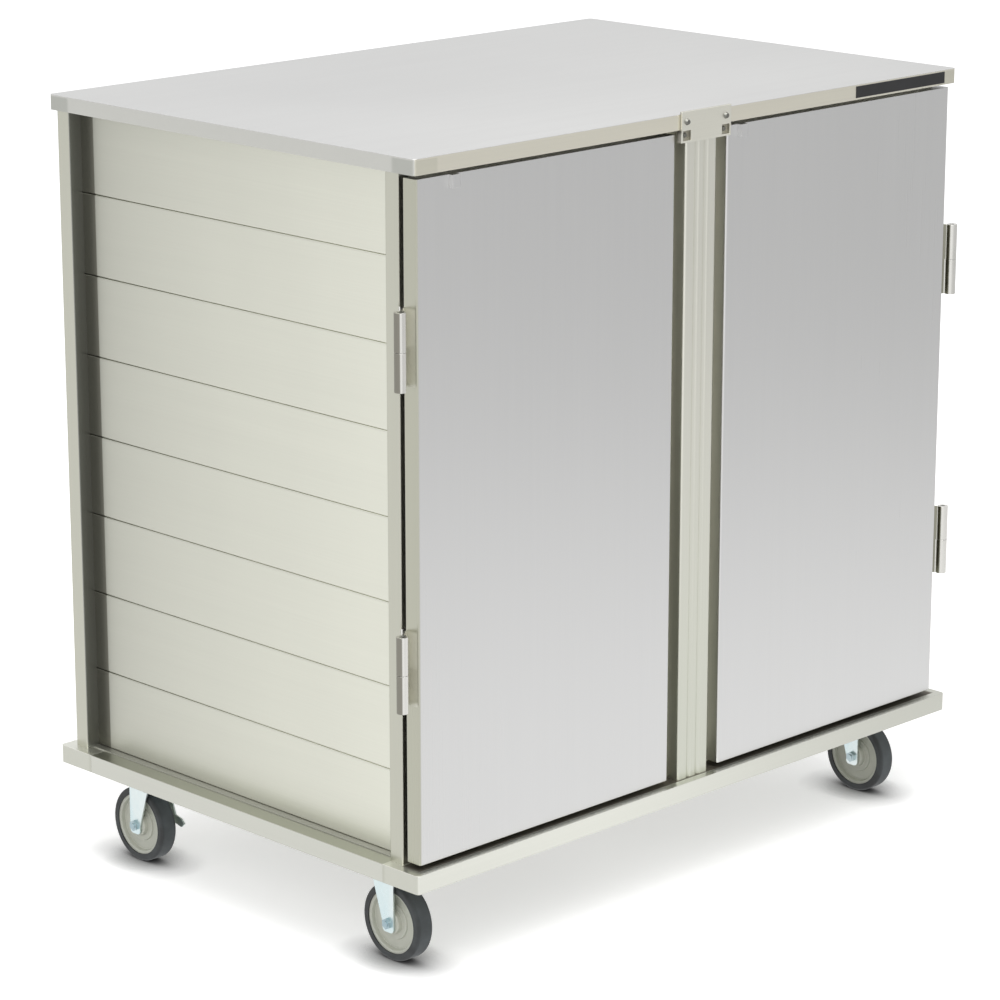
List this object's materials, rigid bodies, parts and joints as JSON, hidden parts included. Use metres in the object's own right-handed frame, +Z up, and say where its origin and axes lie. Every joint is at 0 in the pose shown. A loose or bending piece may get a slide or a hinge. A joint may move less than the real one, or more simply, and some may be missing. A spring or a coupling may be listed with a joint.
{
  "type": "enclosed meal tray cart",
  "caption": "Enclosed stainless tray cart with side-hinged doors either side of a mullion, ledged tray compartments and swivel casters.",
  "frame": {"origin": "on the floor under the middle of the cart's overall width and depth", "axes": "+X along the doors to the right as seen from the front, +Y to the rear, +Z up; the doors face -Y"},
  "size_m": [1.305, 0.871, 1.2928],
  "materials": {
    "body_steel": "horizontally brushed stainless sheet",
    "door_steel": "finely brushed stainless sheet",
    "inner_steel": "satin stainless sheet inside the cabinet",
    "hinge_steel": "satin stainless hinge leaves and strikes",
    "fastener": "stainless bolts and pins",
    "zinc": "pale blue bright zinc plate",
    "wheel_core": "warm grey moulded wheel core",
    "tyre": "dark grey rubber tread",
    "plate": "plain black plate with nothing on it",
    "magnet": "dark door catch magnet"
  },
  "bodies": {
    "cabinet": {"top_panel": "body_steel", "base_end_rails": "body_steel", "base_side_rails": "body_steel", "base_channels": "body_steel", "floor_pan": "inner_steel", "front_posts": "body_steel", "rear_posts": "body_steel", "center_front_post": "inner_steel", "front_header": "inner_steel", "front_sill": "inner_steel", "top_rails": "inner_steel", "left_wall_planks": "body_steel", "right_wall_planks": "body_steel", "back_wall_planks": "body_steel", "left_ledges": "inner_steel", "right_ledges": "inner_steel", "divider_panels": "inner_steel", "mullion": "body_steel", "mullion_bracket": "body_steel", "bracket_bolts": "fastener", "blank_plate": "plate", "door_magnets": "magnet", "left_hinge_frame_leaves": "hinge_steel", "right_hinge_frame_leaves": "hinge_steel", "hinge_pins": "fastener", "caster_plates": "zinc", "caster_bolts": "zinc", "kingpins": "zinc"},
    "left_door": {"left_door_skin": "door_steel", "left_door_liner": "inner_steel", "left_door_bumper": "door_steel", "left_door_strikes": "hinge_steel", "left_hinge_door_leaves": "hinge_steel"},
    "right_door": {"right_door_skin": "door_steel", "right_door_liner": "inner_steel", "right_door_bumper": "door_steel", "right_door_strikes": "hinge_steel", "right_hinge_door_leaves": "hinge_steel"},
    "front_left_swivel": {"front_left_fork": "zinc", "front_left_axle": "zinc"},
    "front_left_wheel": {"front_left_hub": "wheel_core", "front_left_tyre": "tyre"},
    "front_right_swivel": {"front_right_fork": "zinc", "front_right_axle": "zinc"},
    "front_right_wheel": {"front_right_hub": "wheel_core", "front_right_tyre": "tyre"},
    "rear_left_swivel": {"rear_left_fork": "zinc", "rear_left_axle": "zinc"},
    "rear_left_wheel": {"rear_left_hub": "wheel_core", "rear_left_tyre": "tyre"},
    "rear_left_brake": {"rear_left_brake_lever": "zinc", "rear_left_brake_shaft": "zinc", "rear_left_brake_cam": "zinc"},
    "rear_right_swivel": {"rear_right_fork": "zinc", "rear_right_axle": "zinc"},
    "rear_right_wheel": {"rear_right_hub": "wheel_core", "rear_right_tyre": "tyre"},
    "rear_right_brake": {"rear_right_brake_lever": "zinc", "rear_right_brake_shaft": "zinc", "rear_right_brake_cam": "zinc"}
  },
  "joints": [
    {"name": "left_door_hinge", "type": "hinge", "parent": "cabinet", "child": "left_door", "pos_m": [-0.6435, -0.4125, 0.72675], "axis": [0, 0, -1], "range_deg": [0, 270]},
    {"name": "right_door_hinge", "type": "hinge", "parent": "cabinet", "child": "right_door", "pos_m": [0.6435, -0.4125, 0.72675], "axis": [0, 0, 1], "range_deg": [0, 270]},
    {"name": "front_left_swivel_spin", "type": "hinge", "parent": "cabinet", "child": "front_left_swivel", "pos_m": [-0.5605, -0.285, 0.14945], "axis": [0, 0, 1], "continuous": true},
    {"name": "front_left_wheel_roll", "type": "hinge", "parent": "front_left_swivel", "child": "front_left_wheel", "pos_m": [-0.5605, -0.31, 0.0635], "axis": [1, 0, 0], "continuous": true},
    {"name": "front_right_swivel_spin", "type": "hinge", "parent": "cabinet", "child": "front_right_swivel", "pos_m": [0.5605, -0.285, 0.14945], "axis": [0, 0, 1], "continuous": true},
    {"name": "front_right_wheel_roll", "type": "hinge", "parent": "front_right_swivel", "child": "front_right_wheel", "pos_m": [0.5605, -0.31, 0.0635], "axis": [1, 0, 0], "continuous": true},
    {"name": "rear_left_swivel_spin", "type": "hinge", "parent": "cabinet", "child": "rear_left_swivel", "pos_m": [-0.5605, 0.285, 0.14945], "axis": [0, 0, 1], "continuous": true},
    {"name": "rear_left_wheel_roll", "type": "hinge", "parent": "rear_left_swivel", "child": "rear_left_wheel", "pos_m": [-0.5605, 0.31, 0.0635], "axis": [1, 0, 0], "continuous": true},
    {"name": "rear_left_brake_press", "type": "hinge", "parent": "rear_left_swivel", "child": "rear_left_brake", "pos_m": [-0.5605, 0.283, 0.13195], "axis": [1, 0, 0], "range_deg": [0, 24]},
    {"name": "rear_right_swivel_spin", "type": "hinge", "parent": "cabinet", "child": "rear_right_swivel", "pos_m": [0.5605, 0.285, 0.14945], "axis": [0, 0, 1], "continuous": true},
    {"name": "rear_right_wheel_roll", "type": "hinge", "parent": "rear_right_swivel", "child": "rear_right_wheel", "pos_m": [0.5605, 0.31, 0.0635], "axis": [1, 0, 0], "continuous": true},
    {"name": "rear_right_brake_press", "type": "hinge", "parent": "rear_right_swivel", "child": "rear_right_brake", "pos_m": [0.5605, 0.283, 0.13195], "axis": [1, 0, 0], "range_deg": [0, 24]}
  ]
}
